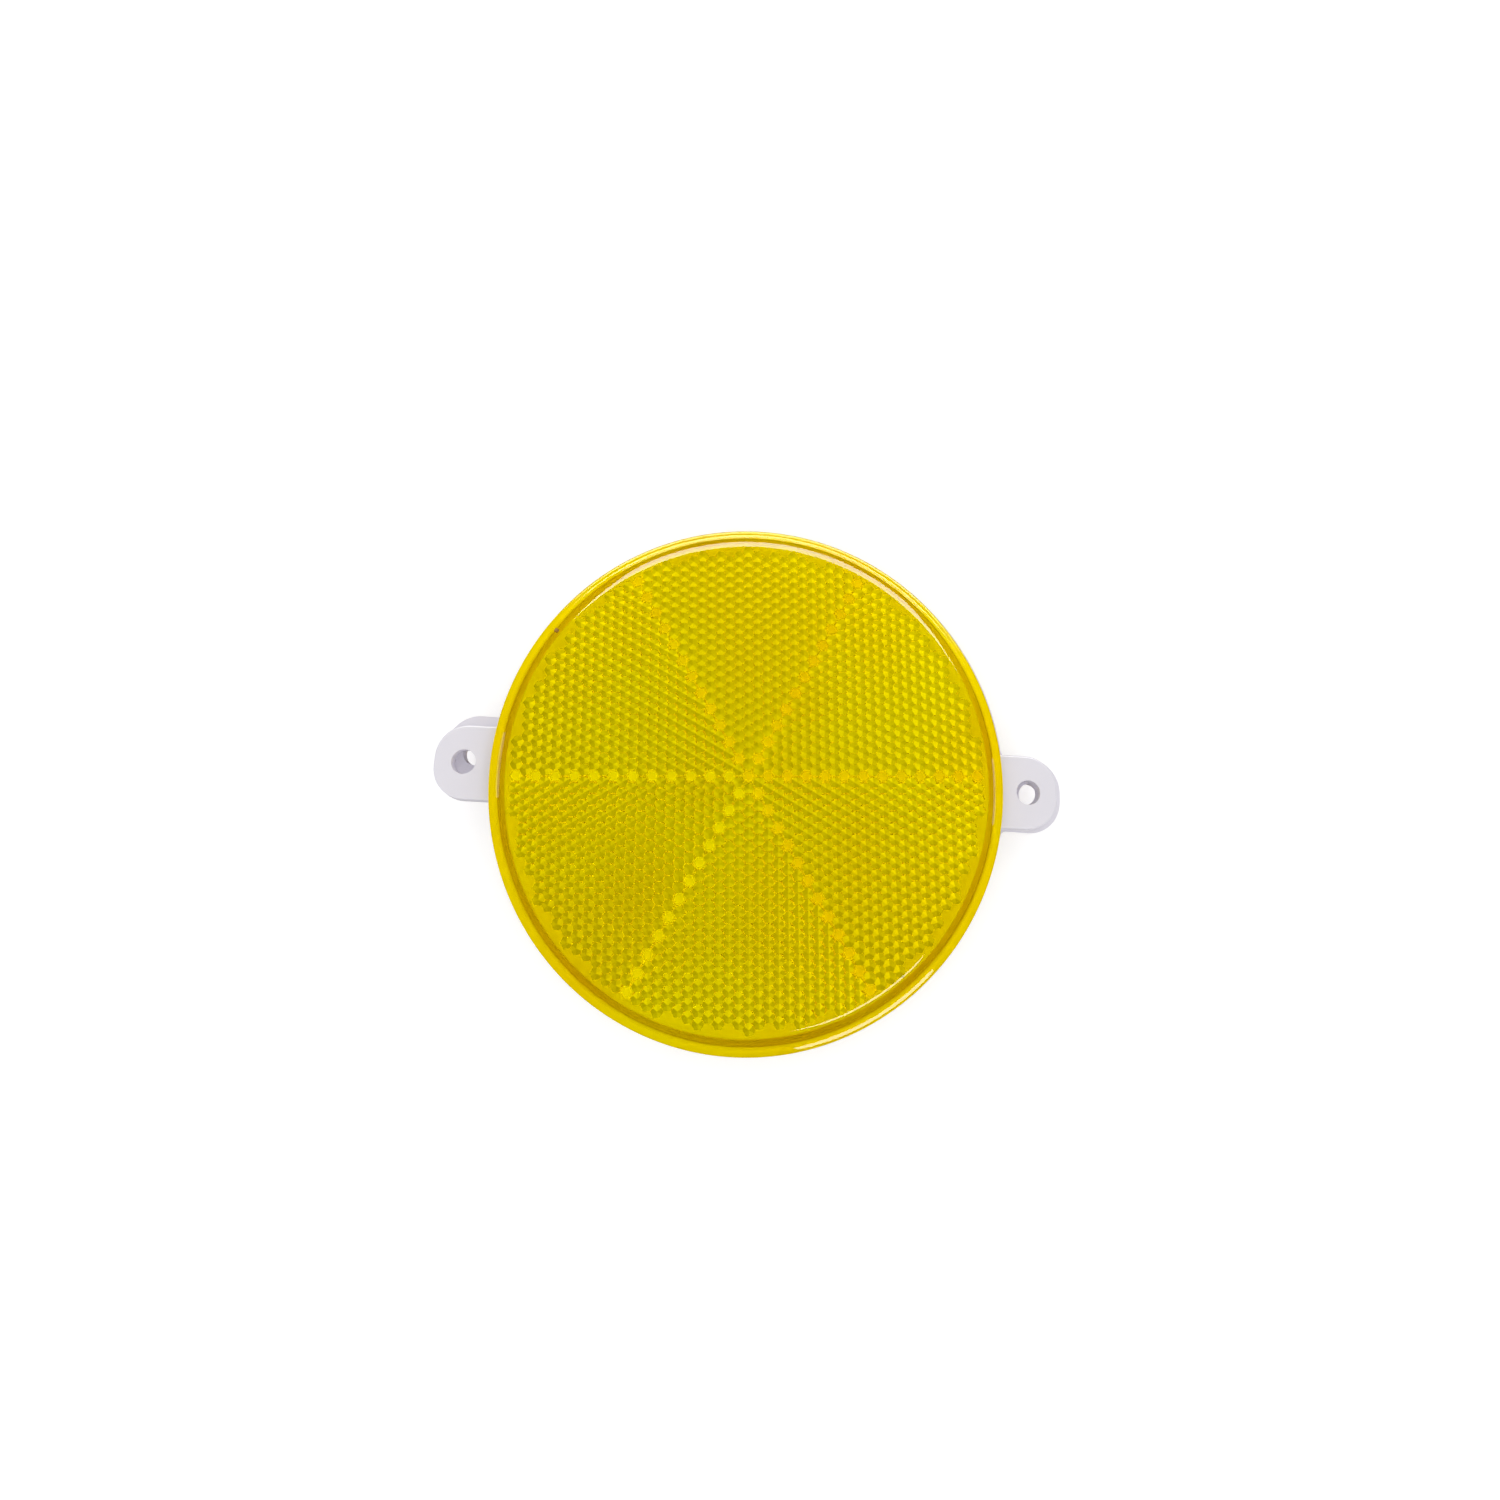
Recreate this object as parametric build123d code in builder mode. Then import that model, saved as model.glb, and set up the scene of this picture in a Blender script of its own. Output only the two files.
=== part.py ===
"""Double-sided round reflex reflector with two screw ears.

Two identical halves sit back to back. Each half is a white housing, a shallow dish with an ear at
each end of its X axis, closed by an amber lens whose skirt drops inside the housing wall and whose
flange covers the wall's top. A thin adhesive pad lies in the two facing recesses and holds the
halves together. The rear half is turned and shifted a little against the front half, so the ears
and their holes are out of register.

Frame: +Z is the front lens's viewing direction and the ears point along X. The origin is in the
plane of the rear lens's face, under the centre of the whole outline.
"""

import os

from build123d import *

os.makedirs("parts", exist_ok=True)

# Driving dimensions, millimetres.
lens_radius = 50.0
half_thickness = 8.0  # from the halves' common back plane to a lens face
ear_thickness = 3.2
ear_width = 14.8  # at the back plane, before the moulding draft
ear_tip_x = 61.5
ear_corner_radius = 6.5
ear_root_radius = 1.2
hole_radius = 2.35
hole_pitch = 111.0

# How far the rear half sits out of register with the front half.
rear_shift_x = 1.35
rear_shift_y = 0.8
rear_turn = -1.2  # degrees about +Z

# Housing section.
housing_radius = 50.2  # at the back plane, before the moulding draft
housing_draft = 6.0  # degrees
plate_thickness = 1.6
wall_radius = 49.15  # the upright wall that carries the lens flange
wall_height = 4.0
pocket_radius = 47.5
edge_break = 0.4
pad_recess_radius = 42.5
pad_recess_depth = 0.4

# Lens section.
body_top_radius = 46.9  # raised part of the lens, whose wall slopes out to the flange
body_foot_radius = 48.7
flange_top = 5.4
shoulder_radius = 2.5
flange_edge_radius = 0.6
skirt_thickness = 1.2
skirt_clearance = 0.1
field_radius = 45.8  # the prism field, a plain slab here as deep as the prisms' mean depth
field_depth = 2.7
rim_plate_thickness = 2.0

# Adhesive pad, small enough to lie inside both recesses.
pad_radius = 40.5

front_seat = Plane(
    origin=(-rear_shift_x / 2, -rear_shift_y / 2, half_thickness), x_dir=(1, 0, 0), z_dir=(0, 0, 1)
)
rear_seat = Plane(
    origin=(rear_shift_x / 2, rear_shift_y / 2, half_thickness),
    x_dir=Vector(1, 0, 0).rotate(Axis.Z, rear_turn),
    z_dir=(0, 0, -1),
)


def axis_of(seat):
    """Centre line of the half whose back lies on seat, pointing out through its lens."""
    return Axis(seat.origin, seat.z_dir)


def section_of(seat):
    """Plane through that centre line, with X outwards and Y towards the lens face."""
    return Plane(origin=seat.origin, x_dir=seat.x_dir, z_dir=-seat.y_dir)


def is_ear_root(edge, seat):
    """True for the upright edges where an ear's sides meet the dish's wall."""
    foot, top = edge @ 0 - seat.origin, edge @ 1 - seat.origin
    rise = abs((top - foot).dot(seat.z_dir))
    reach = abs((foot + top).dot(seat.x_dir)) / 2
    return rise > ear_thickness / 2 and reach < housing_radius


def build_housing(seat):
    """Shallow dish with a drafted wall, two ears and a recess for the pad in its back."""
    with BuildPart() as housing:
        with BuildSketch(seat):
            Circle(housing_radius)
        extrude(amount=ear_thickness, taper=housing_draft)
        with BuildSketch(seat):
            RectangleRounded(2 * ear_tip_x, ear_width, ear_corner_radius)
        extrude(amount=ear_thickness, taper=housing_draft)
        roots = [edge for edge in housing.edges() if is_ear_root(edge, seat)]
        fillet(roots, ear_root_radius)
        fillet(housing.edges().group_by(axis_of(seat))[-1], edge_break)

        with BuildSketch(seat.offset(plate_thickness)):
            Circle(wall_radius)
        extrude(amount=wall_height - plate_thickness)
        with BuildSketch(seat.offset(plate_thickness)):
            Circle(pocket_radius)
        extrude(amount=half_thickness, mode=Mode.SUBTRACT)

        with BuildSketch(seat):
            Circle(pad_recess_radius)
        extrude(amount=pad_recess_depth, mode=Mode.SUBTRACT)
        with BuildSketch(seat):
            with GridLocations(hole_pitch, 0, 2, 1):
                Circle(hole_radius)
        extrude(amount=ear_thickness, mode=Mode.SUBTRACT)
    return housing


def build_lens(seat):
    """Raised face, rounded shoulder, sloped wall, lower flange, and a skirt that drops into the dish."""
    skirt_outer = pocket_radius - skirt_clearance
    skirt_inner = skirt_outer - skirt_thickness
    with BuildPart() as lens:
        with BuildSketch(section_of(seat)):
            with BuildLine():
                Polyline(
                    (0, half_thickness),
                    (body_top_radius, half_thickness),
                    (body_foot_radius, flange_top),
                    (lens_radius, flange_top),
                    (lens_radius, wall_height),
                    (skirt_outer, wall_height),
                    (skirt_outer, plate_thickness),
                    (skirt_inner, plate_thickness),
                    (skirt_inner, half_thickness - rim_plate_thickness),
                    (field_radius, half_thickness - rim_plate_thickness),
                    (field_radius, half_thickness - field_depth),
                    (0, half_thickness - field_depth),
                    close=True,
                )
            make_face()
        revolve(axis=axis_of(seat))
        rims = lens.edges().filter_by(GeomType.CIRCLE)
        shoulder = rims.group_by(axis_of(seat))[-1]
        flange_edge = rims.filter_by(lambda rim: rim.radius > body_foot_radius + edge_break)
        fillet(shoulder, shoulder_radius)
        fillet(flange_edge.sort_by(axis_of(seat))[-1], flange_edge_radius)
    return lens


front_housing = build_housing(front_seat)
rear_housing = build_housing(rear_seat)
front_lens = build_lens(front_seat)
rear_lens = build_lens(rear_seat)

with BuildPart() as bond_pad:
    with BuildSketch(Plane.XY.offset(half_thickness - pad_recess_depth)):
        Circle(pad_radius)
    extrude(amount=2 * pad_recess_depth)

front_housing.part.label = "front_housing"
rear_housing.part.label = "rear_housing"
front_lens.part.label = "front_lens"
rear_lens.part.label = "rear_lens"
bond_pad.part.label = "bond_pad"

export_step(front_housing.part, "parts/front_housing.step")
export_step(rear_housing.part, "parts/rear_housing.step")
export_step(front_lens.part, "parts/front_lens.step")
export_step(rear_lens.part, "parts/rear_lens.step")
export_step(bond_pad.part, "parts/bond_pad.step")
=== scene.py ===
"""Round amber reflex reflector: clear lenses with moulded corner prisms over white housings."""

import math

import bmesh
import bpy
from mathutils import Matrix, Vector


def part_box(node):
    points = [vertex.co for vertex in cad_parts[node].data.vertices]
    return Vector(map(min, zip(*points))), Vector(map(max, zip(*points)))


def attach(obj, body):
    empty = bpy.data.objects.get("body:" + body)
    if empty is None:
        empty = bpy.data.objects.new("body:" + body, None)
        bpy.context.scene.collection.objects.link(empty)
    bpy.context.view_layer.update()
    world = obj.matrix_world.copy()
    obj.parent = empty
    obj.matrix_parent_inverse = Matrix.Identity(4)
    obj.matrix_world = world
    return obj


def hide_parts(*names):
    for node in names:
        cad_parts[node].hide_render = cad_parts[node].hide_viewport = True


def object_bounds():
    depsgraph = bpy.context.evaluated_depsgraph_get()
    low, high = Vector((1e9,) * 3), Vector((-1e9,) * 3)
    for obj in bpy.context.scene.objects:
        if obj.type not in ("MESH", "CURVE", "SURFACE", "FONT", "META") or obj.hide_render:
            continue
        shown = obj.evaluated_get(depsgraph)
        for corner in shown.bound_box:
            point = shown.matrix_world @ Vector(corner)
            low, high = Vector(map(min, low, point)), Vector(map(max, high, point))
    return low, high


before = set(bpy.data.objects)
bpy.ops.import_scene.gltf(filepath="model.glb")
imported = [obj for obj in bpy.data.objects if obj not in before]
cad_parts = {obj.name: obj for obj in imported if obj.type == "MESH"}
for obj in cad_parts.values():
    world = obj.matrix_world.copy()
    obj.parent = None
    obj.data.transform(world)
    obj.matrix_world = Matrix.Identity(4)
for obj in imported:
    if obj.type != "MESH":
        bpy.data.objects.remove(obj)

cad_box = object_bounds()

MM = 0.001

# Lens section, in metres from the halves' common back plane.
lens_low, lens_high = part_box("front_lens")
lens_radius = (lens_high[0] - lens_low[0]) / 2
back_plane = (cad_box[0][2] + cad_box[1][2]) / 2
half_thickness = cad_box[1][2] - back_plane
body_top = 46.9 * MM
body_foot = 48.7 * MM
flange_top = 5.4 * MM
seat_gap = 0.05 * MM
flange_seat = 4.0 * MM + seat_gap
skirt_outer = 47.4 * MM
skirt_inner = 46.4 * MM
skirt_foot = 1.6 * MM + seat_gap
shoulder = 1.3 * MM
flange_round = 0.6 * MM
wall_foot_round = 0.3 * MM
seat_round = 0.15 * MM
face_thickness = 1.6 * MM
rim_plane = half_thickness - face_thickness
near = 0.01 * MM  # how close two heights or radii are to count as the same

# Prism field: hexagonal pins, each ending in three facets that meet at an apex.
pin_flats = 2.14 * MM
pin_corner = pin_flats / math.sqrt(3)  # from a pin's middle to its corners
column_pitch = pin_flats * math.sqrt(3) / 2
pin_depth = 1.51 * MM
field_radius = 45.0 * MM
field_turn = math.radians(3.0)
rear_turn = math.radians(-1.2)

# Each sector's pins: the flat that the first facet starts from, in degrees counter-clockwise
# from +X, and the apex's shift away from it in millimetres.
cube_pins = [
    ("upper_right", 30, -0.22),
    ("top", 90, -0.2),
    ("upper_left", 150, -0.24),
    ("lower_left", 210, -0.24),
    ("bottom", 270, -0.26),
    ("lower_right", 330, -0.24),
]
seam_width = 0.2  # degrees either side of the line between two sectors
painted_glint_seams = (3, 4)  # left and lower left, counted from +X, their bosses left free of dye as a painted highlight for glints; the others are dyed deeper
dyed_seam_clear = 0.35  # what a deeper-dyed boss keeps of the light that the dye would take
boss_inset = 0.25 * MM
boss_height = 0.35 * MM
rim_clear = 0.75  # the same for the rim's hidden faces
margin_haze = 0.6  # how matt the prism field's flat margin is, from 0, clear, to 1

# Stub of the moulding gate, sunk in the lens's sloped wall.
gate_turn = math.radians(146.5)
gate_reach = 47.35 * MM  # far enough down the wall that the stub stays below the face
gate_radius = 0.42 * MM


# --- materials -------------------------------------------------------------------------------


def linear(code):
    """Linear RGBA from an sRGB hex colour."""
    channels = [int(code[i : i + 2], 16) / 255 for i in (0, 2, 4)]
    return [c / 12.92 if c <= 0.04045 else ((c + 0.055) / 1.055) ** 2.4 for c in channels] + [1.0]


def add_node(tree, kind, settings=None, links=None):
    """Adds a shader node, sets its sockets or properties, and links its inputs."""
    node = tree.nodes.new(kind)
    for key, value in (settings or {}).items():
        if isinstance(key, int) or key in node.inputs:
            node.inputs[key].default_value = value
        else:
            setattr(node, key, value)
    for key, source in (links or {}).items():
        tree.links.new(source, node.inputs[key])
    return node


def new_material(name):
    material = bpy.data.materials.new(name)
    material.use_nodes = True
    material.node_tree.nodes.clear()
    return material, material.node_tree


def feature(size):
    """Scale of a noise texture whose features are this large, in millimetres."""
    return 1 / (size * MM)


def grey(level):
    """A neutral level of light, or a neutral reflectance, as linear RGBA."""
    return (level, level, level, 1.0)


def amber_acrylic():
    """Injection-moulded PMMA, dyed amber and polished: clear, deep yellow, sharp highlights.

    The dye is a little uneven, in broad patches, as where the melt flowed. A face is matt by the
    share marked haze, and free of dye by the share marked prism: light meets the prisms many
    times, and would go orange. The bosses on the left and lower-left seams are marked free of dye
    too, so their pale matt tops are a painted highlight standing in for glints.
    """
    material, tree = new_material("moulded_amber_acrylic")
    place = add_node(tree, "ShaderNodeTexCoord")
    flow = add_node(
        tree, "ShaderNodeTexNoise", {"Scale": feature(24)}, {"Vector": place.outputs["Object"]}
    )
    spread = add_node(
        tree, "ShaderNodeMapRange", {"From Min": 0.35, "From Max": 0.65}, {"Value": flow.outputs["Fac"]}
    )
    dye = add_node(
        tree,
        "ShaderNodeMixRGB",
        {"Color1": linear("FFEF00"), "Color2": linear("FFE600")},
        {"Fac": spread.outputs["Result"]},
    )
    prism = add_node(tree, "ShaderNodeAttribute", {"attribute_name": "prism"})
    tint = add_node(
        tree,
        "ShaderNodeMixRGB",
        {"Color2": linear("FFFFFF")},
        {"Fac": prism.outputs["Fac"], "Color1": dye.outputs["Color"]},
    )
    haze = add_node(tree, "ShaderNodeAttribute", {"attribute_name": "haze"})
    clear = add_node(tree, "ShaderNodeMath", {"operation": "SUBTRACT", 0: 1.0}, {1: haze.outputs["Fac"]})
    surface = add_node(
        tree,
        "ShaderNodeBsdfPrincipled",
        {"Roughness": 0.0, "IOR": 1.49},
        {"Base Color": tint.outputs["Color"], "Transmission Weight": clear.outputs["Value"]},
    )
    depth = add_node(tree, "ShaderNodeVolumeAbsorption", {"Color": linear("FFFE00"), "Density": 600.0})
    add_node(
        tree,
        "ShaderNodeOutputMaterial",
        links={"Surface": surface.outputs["BSDF"], "Volume": depth.outputs["Volume"]},
    )
    return material


def grained(name, light, dark, grain, relief, roughness, ior):
    """Opaque plastic or foam: faint unevenness of tone, and a grain in relief."""
    material, tree = new_material(name)
    place = add_node(tree, "ShaderNodeTexCoord")
    tone = add_node(
        tree, "ShaderNodeTexNoise", {"Scale": feature(18)}, {"Vector": place.outputs["Object"]}
    )
    colour = add_node(
        tree,
        "ShaderNodeMixRGB",
        {"Color1": linear(light), "Color2": linear(dark)},
        {"Fac": tone.outputs["Fac"]},
    )
    pits = add_node(
        tree, "ShaderNodeTexNoise", {"Scale": feature(grain)}, {"Vector": place.outputs["Object"]}
    )
    bump = add_node(
        tree, "ShaderNodeBump", {"Strength": 0.5, "Distance": relief * MM}, {"Height": pits.outputs["Fac"]}
    )
    surface = add_node(
        tree,
        "ShaderNodeBsdfPrincipled",
        {"Roughness": roughness, "IOR": ior},
        {"Base Color": colour.outputs["Color"], "Normal": bump.outputs["Normal"]},
    )
    add_node(tree, "ShaderNodeOutputMaterial", links={"Surface": surface.outputs["BSDF"]})
    return material


def white_abs():
    """Moulded ABS: satin white with a cool cast. Its spark-eroded grain is drawn coarser than
    the real 0.05 mm, which is too fine to show."""
    return grained(
        "moulded_white_abs", "EAE7EE", "DFDCE4", grain=0.5, relief=0.02, roughness=0.35, ior=1.54
    )


def foam_tape():
    """Cast acrylic foam tape: matt off-white, with open cells on its edge."""
    return grained(
        "cast_acrylic_foam", "F1EFE8", "E4E1D8", grain=0.3, relief=0.1, roughness=0.9, ior=1.48
    )


def gate_stub_acrylic():
    """Amber acrylic where the gate was sheared off: scorched brown and rough."""
    return grained(
        "sheared_amber_acrylic", "B8860E", "8C5E08", grain=0.2, relief=0.05, roughness=0.6, ior=1.49
    )


# --- making ----------------------------------------------------------------------------------


def select_only(*objects):
    bpy.ops.object.select_all(action="DESELECT")
    for thing in objects:
        thing.select_set(True)
    bpy.context.view_layer.objects.active = objects[-1]


def pick(thing, kind, test):
    """In edit mode, selects only the verts, edges or faces whose middle passes the test."""
    bpy.ops.mesh.select_mode(type={"verts": "VERT", "edges": "EDGE", "faces": "FACE"}[kind])
    bpy.ops.mesh.select_all(action="DESELECT")
    mesh = bmesh.from_edit_mesh(thing.data)
    for element in getattr(mesh, kind):
        if kind == "verts":
            middle = element.co
        elif kind == "edges":
            middle = (element.verts[0].co + element.verts[1].co) / 2
        else:
            middle = element.calc_center_median()
        element.select_set(test(middle))
    mesh.select_flush_mode()
    bmesh.update_edit_mesh(thing.data)


def bearing(angle):
    return Vector((math.cos(angle), math.sin(angle), 0))


def mark(thing, attribute, value_of):
    """Stores a value on each face, for the material to read."""
    layer = thing.data.attributes.new(attribute, "FLOAT", "FACE")
    for face in thing.data.polygons:
        layer.data[face.index].value = value_of(face)


def hexagon(name):
    """One cell of the honeycomb, with flats at the sides towards +Y and -Y."""
    bpy.ops.object.select_all(action="DESELECT")
    bpy.ops.mesh.primitive_circle_add(
        vertices=6, radius=pin_corner, fill_type="NGON", rotation=(0, 0, math.radians(30))
    )
    cell = bpy.context.object
    cell.name = name
    bpy.ops.object.transform_apply(location=True, rotation=True, scale=True)
    return cell


def prism_pin(name, first_flat, shift):
    """One pin: three facets run from three alternate flats of a hexagon down to the apex.

    The apex is shifted away from the first of those flats, which makes its facet flatter.
    """
    pin = hexagon(name)
    facets = [first_flat + math.radians(120) * i for i in range(3)]
    notches = [angle + math.radians(60) for angle in facets]
    apex = -shift * bearing(first_flat) - Vector((0, 0, pin_depth))
    bpy.ops.object.mode_set(mode="EDIT")
    flat = pin_flats / 2
    pick(pin, "edges", lambda p: any((p - bearing(a) * flat).length < flat / 10 for a in notches))
    bpy.ops.mesh.subdivide(number_cuts=1)
    pick(pin, "faces", lambda p: True)
    bpy.ops.mesh.poke()
    pick(pin, "verts", lambda p: p.length < flat / 10)
    bpy.ops.transform.translate(value=apex)
    for angle in notches:
        meet = bearing(angle) * pin_flats
        along = (flat - apex.dot(bearing(angle))) / (pin_flats - apex.dot(bearing(angle)))
        notch = apex + (meet - apex) * along
        middle = bearing(angle) * flat
        pick(pin, "verts", lambda p: (p - middle).length < flat / 10)
        bpy.ops.transform.translate(value=notch - middle)
        corners = [bearing(angle + side * math.radians(30)) * pin_corner for side in (-1, 1)]
        wall = corners + [notch]
        pick(pin, "verts", lambda p: any((p - corner).length < flat / 20 for corner in wall))
        bpy.ops.mesh.edge_face_add()
    bpy.ops.object.mode_set(mode="OBJECT")
    mark(pin, "prism", lambda face: 1.0)
    return pin


def seam_boss(name, clear):
    """A low boss with a matt flat top, which stands where sectors meet. The share clear is free of dye; a
    fully clear top is a painted highlight.
    """
    boss = hexagon(name)
    bpy.ops.object.mode_set(mode="EDIT")
    bpy.ops.mesh.select_mode(type="FACE")
    bpy.ops.mesh.select_all(action="SELECT")
    bpy.ops.mesh.inset(thickness=boss_inset, depth=0.0)
    bpy.ops.transform.translate(value=(0, 0, -boss_height))
    bpy.ops.object.mode_set(mode="OBJECT")
    mark(boss, "prism", lambda face: clear)
    mark(boss, "haze", lambda face: float(face.center.z < -0.9 * boss_height))
    return boss


def pin_at(x, y):
    """What stands here: 0 to 5 a sector's pin, counter-clockwise from +X, 6 a boss free of dye whose pale
    top is a painted highlight, 7 a dyed one.
    """
    angle = math.degrees(math.atan2(y, x)) % 360
    middle = math.hypot(x, y) < pin_flats / 2
    if middle or abs((angle + 30) % 60 - 30) < seam_width:
        # Bosses on these seams stay free of dye, so their pale tops are a painted highlight.
        clear = round(angle / 60) % 6 in painted_glint_seams and not middle
        return 6 if clear else 7
    return int(angle // 60)


def prism_sheet(pins):
    """The honeycomb of pins, column by column, each run of one sector an array of its pin."""
    runs = []
    columns = int(field_radius / column_pitch)
    rows = int(field_radius / pin_flats) + 1
    for column in range(-columns, columns + 1):
        x = column * column_pitch
        start = 0.5 * pin_flats if column % 2 else 0.0
        previous = None
        for row in range(-rows, rows + 1):
            y = start + row * pin_flats
            inside = math.hypot(x, y) < field_radius
            kind = pin_at(x, y) if inside else None
            if inside and kind == previous:
                runs[-1][3] += 1
            elif inside:
                runs.append([kind, x, y, 1])
            previous = kind
    pieces = []
    for kind, x, y, count in runs:
        piece = pins[kind].copy()
        piece.data = pins[kind].data.copy()
        bpy.context.collection.objects.link(piece)
        piece.location = (x, y, 0)
        if count > 1:
            stack = piece.modifiers.new("column", "ARRAY")
            stack.use_relative_offset = False
            stack.use_constant_offset = True
            stack.constant_offset_displace = (0, pin_flats, 0)
            stack.count = count
            select_only(piece)
            bpy.ops.object.modifier_apply(modifier=stack.name)
        pieces.append(piece)
    select_only(*pieces)
    bpy.ops.object.join()
    sheet = bpy.context.object
    bpy.ops.object.transform_apply(location=True, rotation=True, scale=True)
    for pin in pins:
        bpy.data.objects.remove(pin)
    return sheet


def lens_shell():
    """Face, shoulder, flange and skirt, drawn ring by ring; open where the prism sheet goes."""
    outline = [
        (body_foot, flange_top),
        (lens_radius, flange_top),
        (lens_radius, flange_seat),
        (skirt_outer, flange_seat),
        (skirt_outer, skirt_foot),
        (skirt_inner, skirt_foot),
        (skirt_inner, rim_plane),
    ]
    bpy.ops.object.select_all(action="DESELECT")
    bpy.ops.mesh.primitive_circle_add(
        vertices=192, radius=body_top, fill_type="NGON", location=(0, 0, half_thickness)
    )
    shell = bpy.context.object
    bpy.ops.object.transform_apply(location=True, rotation=True, scale=True)
    bpy.ops.object.mode_set(mode="EDIT")
    bpy.ops.mesh.select_mode(type="EDGE")
    bpy.ops.mesh.select_all(action="SELECT")
    radius, height = body_top, half_thickness
    for next_radius, next_height in outline:
        bpy.ops.mesh.extrude_edges_move(
            TRANSFORM_OT_translate={"value": (0, 0, next_height - height)}
        )
        scale = next_radius / radius
        bpy.ops.transform.resize(value=(scale, scale, 1), center_override=(0, 0, 0))
        radius, height = next_radius, next_height
    round_ring(shell, body_top, half_thickness, shoulder, 10)
    round_ring(shell, lens_radius, flange_top, flange_round, 5)
    round_ring(shell, body_foot, flange_top, wall_foot_round, 4)
    round_ring(shell, lens_radius, flange_seat, seat_round, 2)
    bpy.ops.object.mode_set(mode="OBJECT")
    return shell


def round_ring(thing, radius, height, amount, steps):
    """Bevels the ring of edges at this radius and height."""

    def on_ring(p):
        return abs(math.hypot(p.x, p.y) - radius) < 2 * near and abs(p.z - height) < 2 * near

    pick(thing, "edges", on_ring)
    bpy.ops.mesh.bevel(offset=amount, segments=steps, profile=0.5, clamp_overlap=False)


def frost_rim(lens):
    """Marks the rim's hidden faces as matt: over the housing wall, round the skirt, and the flat
    margin of the prism field, which is left partly clear."""
    haze, prism = lens.data.attributes["haze"], lens.data.attributes["prism"]
    for face in lens.data.polygons:
        reach, height = math.hypot(face.center.x, face.center.y), face.center.z
        in_pocket = reach < skirt_outer + near and height < rim_plane + near
        on_seat = skirt_outer < reach < lens_radius - 20 * near and height < flange_seat + 20 * near
        if (in_pocket or on_seat) and not prism.data[face.index].value:
            margin = height > rim_plane - near
            haze.data[face.index].value = margin_haze if margin else 1.0
            prism.data[face.index].value = rim_clear


def gate_stub():
    """The broken-off stub where the melt entered the mould."""
    spot = bearing(gate_turn) * gate_reach
    slope = (half_thickness - flange_top) / (body_foot - body_top)
    spot.z = half_thickness - (gate_reach - body_top) * slope
    bpy.ops.object.select_all(action="DESELECT")
    bpy.ops.mesh.primitive_cylinder_add(
        vertices=16, radius=gate_radius, depth=2 * gate_radius, location=spot
    )
    stub = bpy.context.object
    stub.rotation_euler = (0, math.atan(slope), gate_turn)
    bpy.ops.object.transform_apply(location=True, rotation=True, scale=True)
    bpy.ops.object.mode_set(mode="EDIT")
    bpy.ops.mesh.select_all(action="SELECT")
    bpy.ops.mesh.bevel(offset=gate_radius / 3, segments=2)
    bpy.ops.object.mode_set(mode="OBJECT")
    return stub


def build_lens():
    """The whole lens, its optical axis on Z and its back at height 0."""
    pins = [prism_pin("pin_" + sector, math.radians(turn), shift * MM) for sector, turn, shift in cube_pins]
    # The fully undyed boss's pale matt top is a painted highlight standing in for glints along the left and
    # lower-left seams.
    pins += [seam_boss("boss_painted_glint", clear=1.0), seam_boss("boss_dyed", clear=dyed_seam_clear)]
    sheet = prism_sheet(pins)
    sheet.data.transform(Matrix.Translation((0, 0, rim_plane)) @ Matrix.Rotation(field_turn, 4, "Z"))
    shell = lens_shell()
    select_only(sheet, shell)
    bpy.ops.object.join()
    lens = bpy.context.object
    bpy.ops.object.mode_set(mode="EDIT")
    bpy.ops.mesh.select_mode(type="VERT")
    bpy.ops.mesh.select_all(action="SELECT")
    bpy.ops.mesh.remove_doubles(threshold=0.002 * MM)
    bpy.ops.mesh.select_mode(type="EDGE")
    bpy.ops.mesh.select_all(action="DESELECT")
    bpy.ops.mesh.select_non_manifold(
        extend=False, use_wire=False, use_boundary=True, use_multi_face=False, use_non_contiguous=False
    )
    bpy.ops.mesh.fill(use_beauty=True)
    bpy.ops.mesh.select_all(action="SELECT")
    bpy.ops.mesh.normals_make_consistent(inside=False)
    bpy.ops.object.mode_set(mode="OBJECT")
    frost_rim(lens)
    select_only(lens)
    bpy.ops.object.shade_smooth_by_angle(angle=math.radians(25))
    return lens


def middle_of(node):
    low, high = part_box(node)
    return Vector(((low[0] + high[0]) / 2, (low[1] + high[1]) / 2, back_plane))


def place_half(shape, material, piece_name, node, turned):
    """A copy of the shape, with its own mesh, on the front half or turned over on the rear half."""
    piece = shape.copy()
    piece.data = shape.data.copy()
    piece.name = piece.data.name = piece_name
    bpy.context.collection.objects.link(piece)
    turn = Matrix()
    if turned:
        turn = Matrix.Rotation(rear_turn, 4, "Z") @ Matrix.Rotation(math.pi, 4, "X")
    piece.data.transform(Matrix.Translation(middle_of(node)) @ turn)
    piece.data.materials.append(material)
    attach(piece, "root")
    return piece


acrylic = amber_acrylic()
scorched = gate_stub_acrylic()
abs_white = white_abs()
tape = foam_tape()

lens_shape = build_lens()
stub_shape = gate_stub()
for half, turned in (("front", False), ("rear", True)):
    node = half + "_lens"
    lens = place_half(lens_shape, acrylic, half + "_lens_body", node, turned)
    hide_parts(node)
    place_half(stub_shape, scorched, half + "_gate_stub", node, turned)
bpy.data.objects.remove(lens_shape)
bpy.data.objects.remove(stub_shape)

for node, material in (("front_housing", abs_white), ("rear_housing", abs_white), ("bond_pad", tape)):
    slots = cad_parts[node].data.materials
    slots.clear()
    slots.append(material)

# --- floor, light and camera -----------------------------------------------------------------

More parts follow.
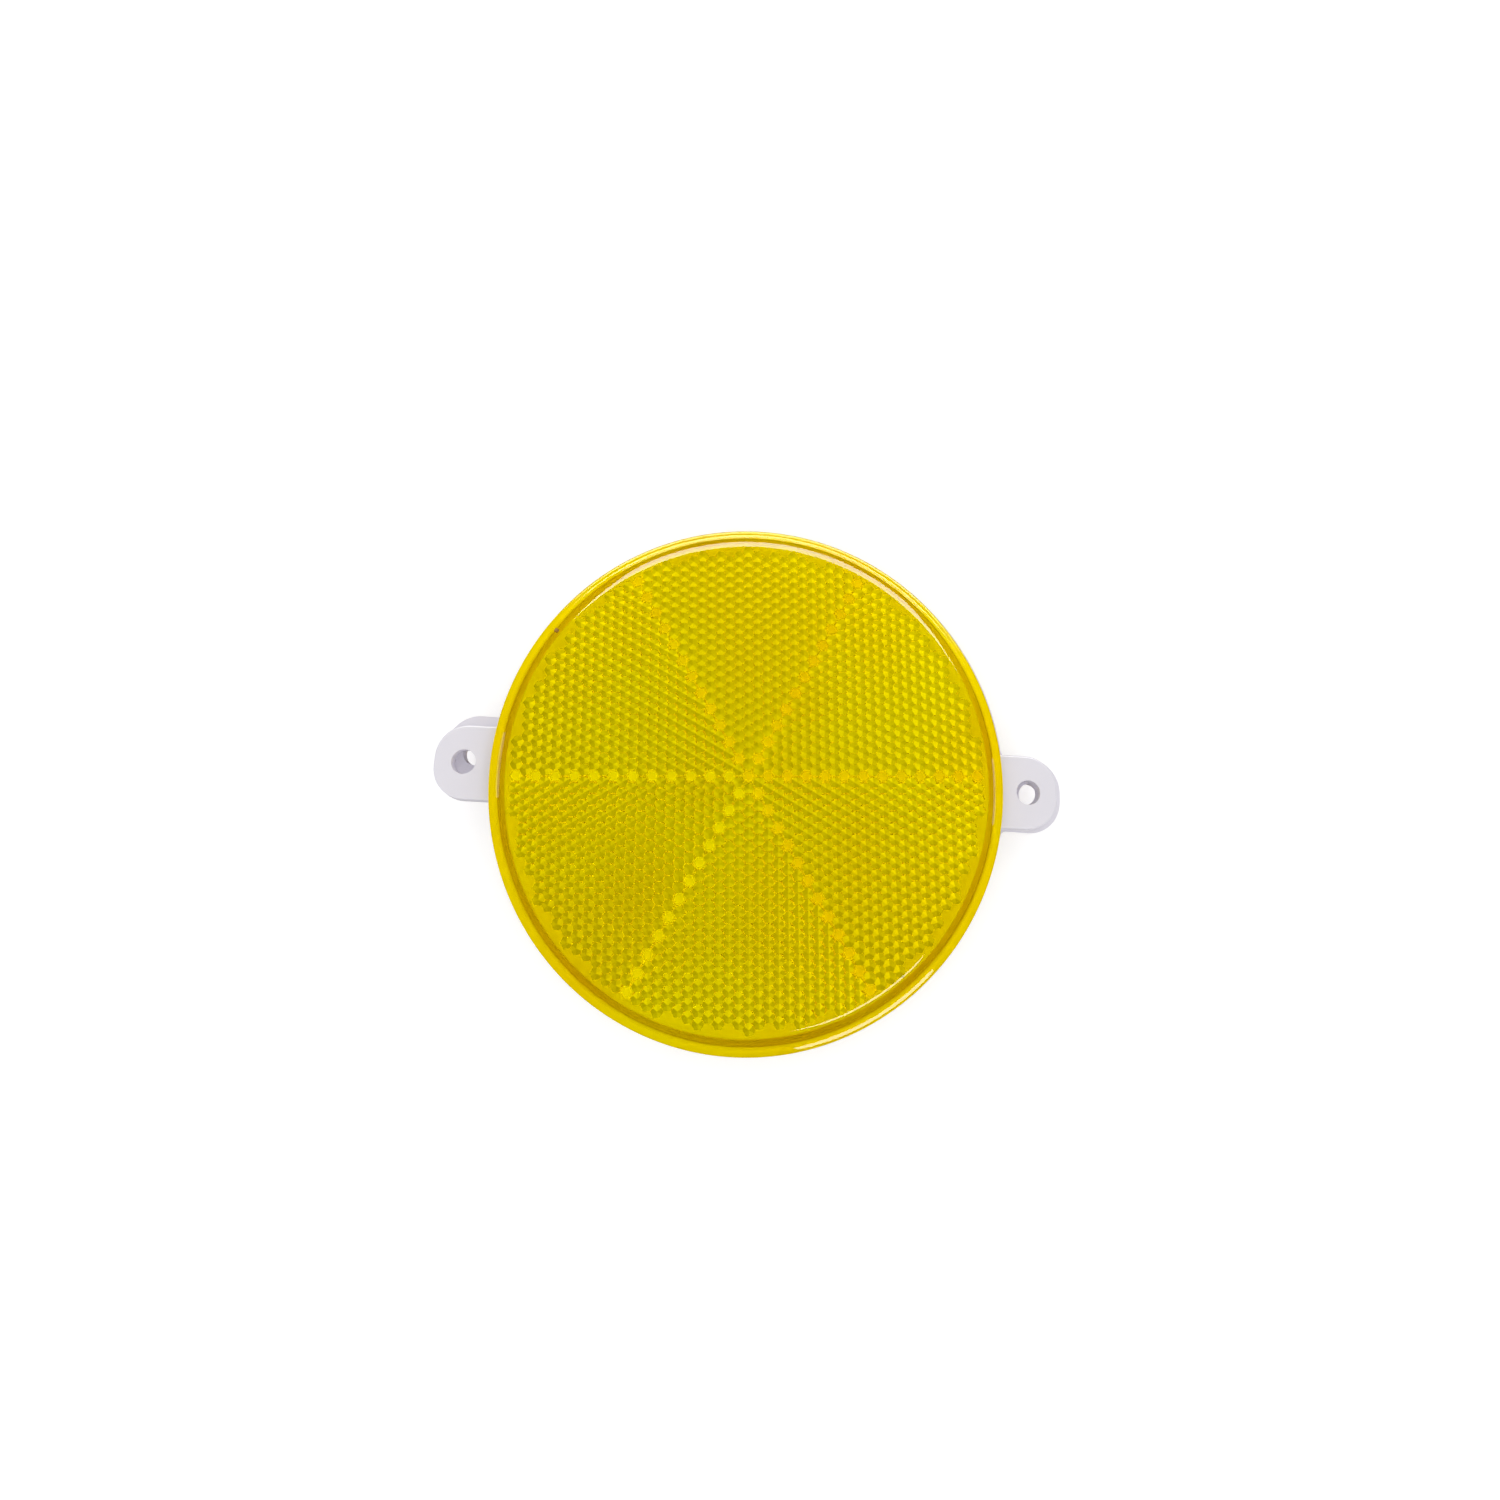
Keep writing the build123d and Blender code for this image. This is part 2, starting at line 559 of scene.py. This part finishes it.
bpy.ops.object.select_all(action="DESELECT")
bpy.ops.mesh.primitive_plane_add(size=4.0, location=(0, 0, -seat_gap))
floor = bpy.context.object
floor.name = "floor"
floor_paint, floor_tree = new_material("white_card")
card = add_node(
    floor_tree,
    "ShaderNodeBsdfPrincipled",
    {
        "Base Color": grey(0.9),
        "Roughness": 1.0,
        "Specular IOR Level": 0.0,
        "Emission Color": grey(1.0),
        "Emission Strength": 0.25,
    },
)
add_node(floor_tree, "ShaderNodeOutputMaterial", links={"Surface": card.outputs["BSDF"]})
floor.data.materials.append(floor_paint)
# The card isn't mirrored in the gloss, where it would lay a pale ring along the sloped wall.
floor.visible_glossy = False

scene = bpy.context.scene
scene.view_settings.view_transform = "Standard"
# Light turns several times inside each prism and comes back through it from the housing.
scene.cycles.max_bounces = 40
scene.cycles.glossy_bounces = 32
scene.cycles.transmission_bounces = 32
scene.cycles.diffuse_bounces = 12
world = bpy.data.worlds.new("soft_white_room")
scene.world = world
world.use_nodes = True
room = world.node_tree
direction = add_node(room, "ShaderNodeTexCoord")
height = add_node(room, "ShaderNodeSeparateXYZ", links={"Vector": direction.outputs["Generated"]})
overhead = add_node(
    room,
    "ShaderNodeMapRange",
    {"From Min": math.cos(math.radians(31)), "From Max": math.cos(math.radians(13))},
    {"Value": height.outputs["Z"]},
)
# The ceiling is dimmer than the walls, and dimmer still towards +X and +Y. What the prisms send
# straight up sees it, and what they send aside sees the walls, which gives the pattern its contrast.
slant = add_node(
    room,
    "ShaderNodeVectorMath",
    {"operation": "DOT_PRODUCT", 1: (0.5, 0.8, 0.0)},
    {0: direction.outputs["Generated"]},
)
fall_off = add_node(
    room, "ShaderNodeMapRange", {"From Min": -0.15, "From Max": 0.15}, {"Value": slant.outputs["Value"]}
)
ceiling = add_node(
    room,
    "ShaderNodeMixRGB",
    {"Color1": grey(0.62), "Color2": grey(0.43)},
    {"Fac": fall_off.outputs["Result"]},
)
colour = add_node(
    room,
    "ShaderNodeMixRGB",
    {"Color1": grey(1.1)},
    {"Fac": overhead.outputs["Result"], "Color2": ceiling.outputs["Color"]},
)
room.links.new(colour.outputs["Color"], room.nodes["Background"].inputs["Color"])
# Nor is the room mirrored: the lens's face and the rim keep their own colour.
world.cycles_visibility.glossy = False


def panel(name, direction, distance, width, height, power):
    """A soft rectangular light facing the lens from that direction, seen only as a gloss highlight."""
    lamp = bpy.data.lights.new(name, "AREA")
    lamp.shape = "RECTANGLE"
    lamp.size, lamp.size_y = width, height
    lamp.energy = power
    holder = bpy.data.objects.new(name, lamp)
    bpy.context.collection.objects.link(holder)
    holder.location = Vector(direction).normalized() * distance
    holder.rotation_euler = Vector(direction).to_track_quat("Z", "Y").to_euler()
    holder.visible_diffuse = False
    holder.visible_transmission = False


panel("window", (0.1, 1.0, 0.75), 1.0, 1.4, 0.9, 30.0)
panel("side_lamp", (0.28, -0.34, 0.89), 1.0, 0.25, 0.25, 1.6)

camera_data = bpy.data.cameras.new("camera")
camera = bpy.data.objects.new("camera", camera_data)
bpy.context.collection.objects.link(camera)
scene.camera = camera
camera_data.lens = 24.0
camera_data.sensor_width = 36.0
camera_data.shift_y = -0.12
camera_data.clip_start = 0.01
camera.location = Vector((-7.9, -13.9, 210.8)) * MM
camera.rotation_euler = (
    Matrix.Rotation(math.radians(-1.57), 3, "Y")
    @ Matrix.Rotation(math.radians(15.56), 3, "X")
    @ Matrix.Rotation(math.radians(3.03), 3, "Z")
).to_euler()
